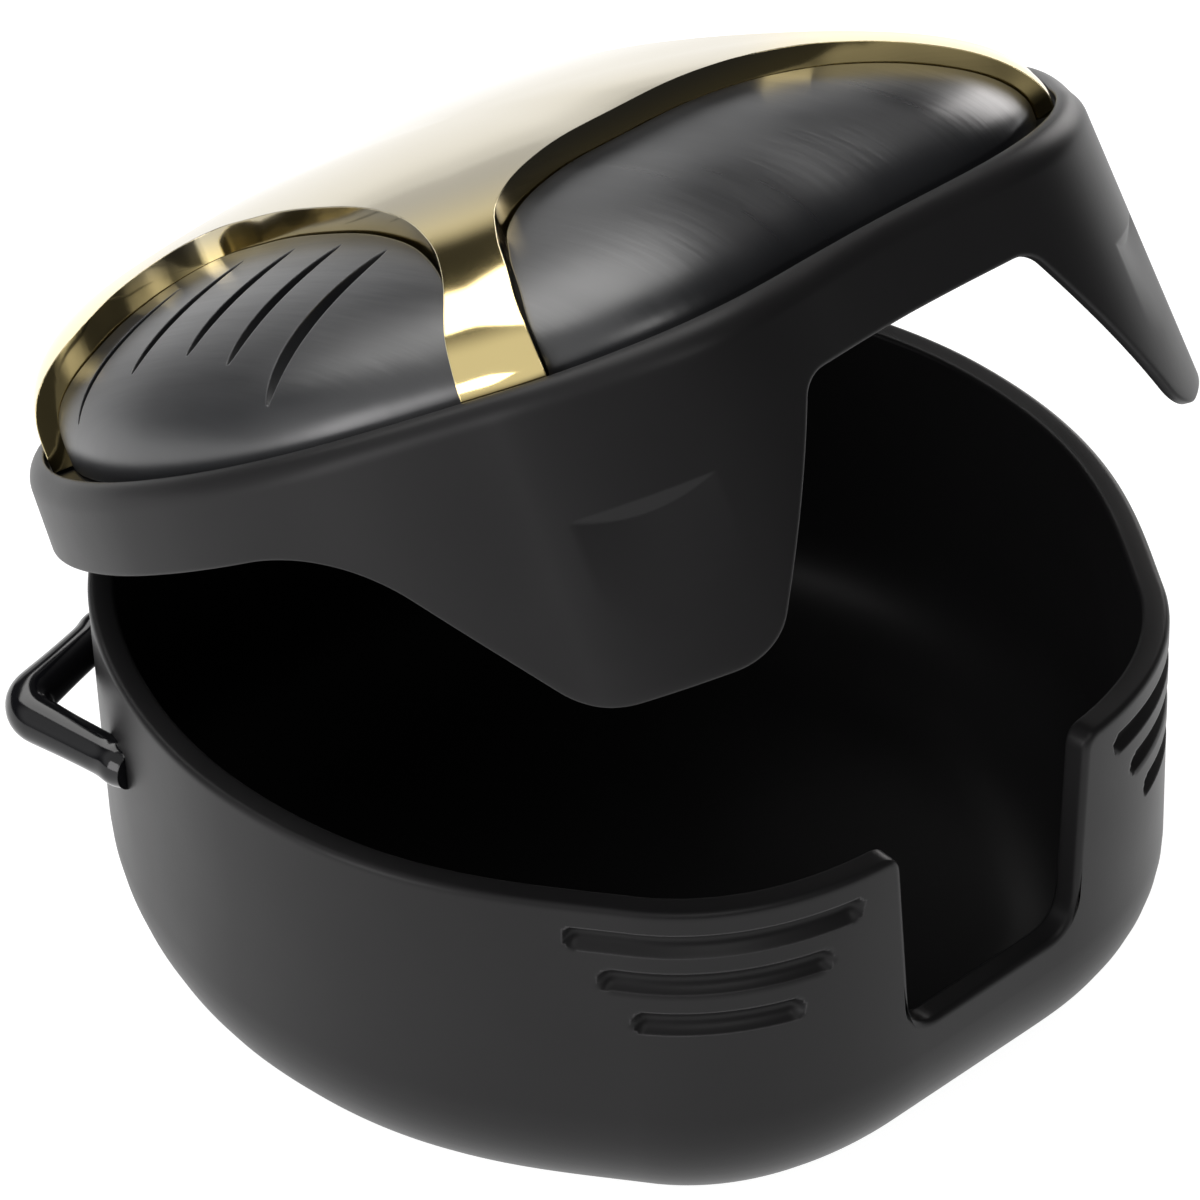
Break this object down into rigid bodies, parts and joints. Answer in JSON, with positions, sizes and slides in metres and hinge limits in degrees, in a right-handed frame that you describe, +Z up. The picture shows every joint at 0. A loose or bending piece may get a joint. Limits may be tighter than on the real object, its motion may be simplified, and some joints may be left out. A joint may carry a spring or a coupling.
{
  "type": "mouthguard case",
  "caption": "Rounded vented mouthguard case with a hinged domed lid, long front tabs, thumb notch, grip grooves and a lanyard loop.",
  "frame": {"origin": "middle of the tub's flat underside, on the left-right middle plane", "axes": "+Z up, -Y towards the thumb notch, +Y towards the hinge, +X to the right seen from the front"},
  "size_m": [0.0848, 0.088, 0.0793],
  "materials": {
    "satin_black": "satin moulded plastic",
    "panel_grey": "satin moulded plastic",
    "liner_black": "matt moulded plastic",
    "gloss_black": "polished moulded plastic",
    "gold_trim": "gold metallised plastic, mirror-like",
    "pin_steel": "drawn wire"
  },
  "bodies": {
    "base": {"base_tub": "satin_black", "lanyard_loop": "gloss_black", "hinge_pin": "pin_steel"},
    "lid": {"lid_frame": "satin_black", "lid_liner": "liner_black", "front_dome": "panel_grey", "left_vent_dome": "panel_grey", "right_vent_dome": "panel_grey", "rear_dome": "panel_grey", "trim_plate": "gold_trim"}
  },
  "joints": [
    {"name": "lid_hinge", "type": "hinge", "parent": "base", "child": "lid", "pos_m": [0, 0.0467, 0.0321], "axis": [-1, 0, 0], "range_deg": [-29, 91]}
  ]
}
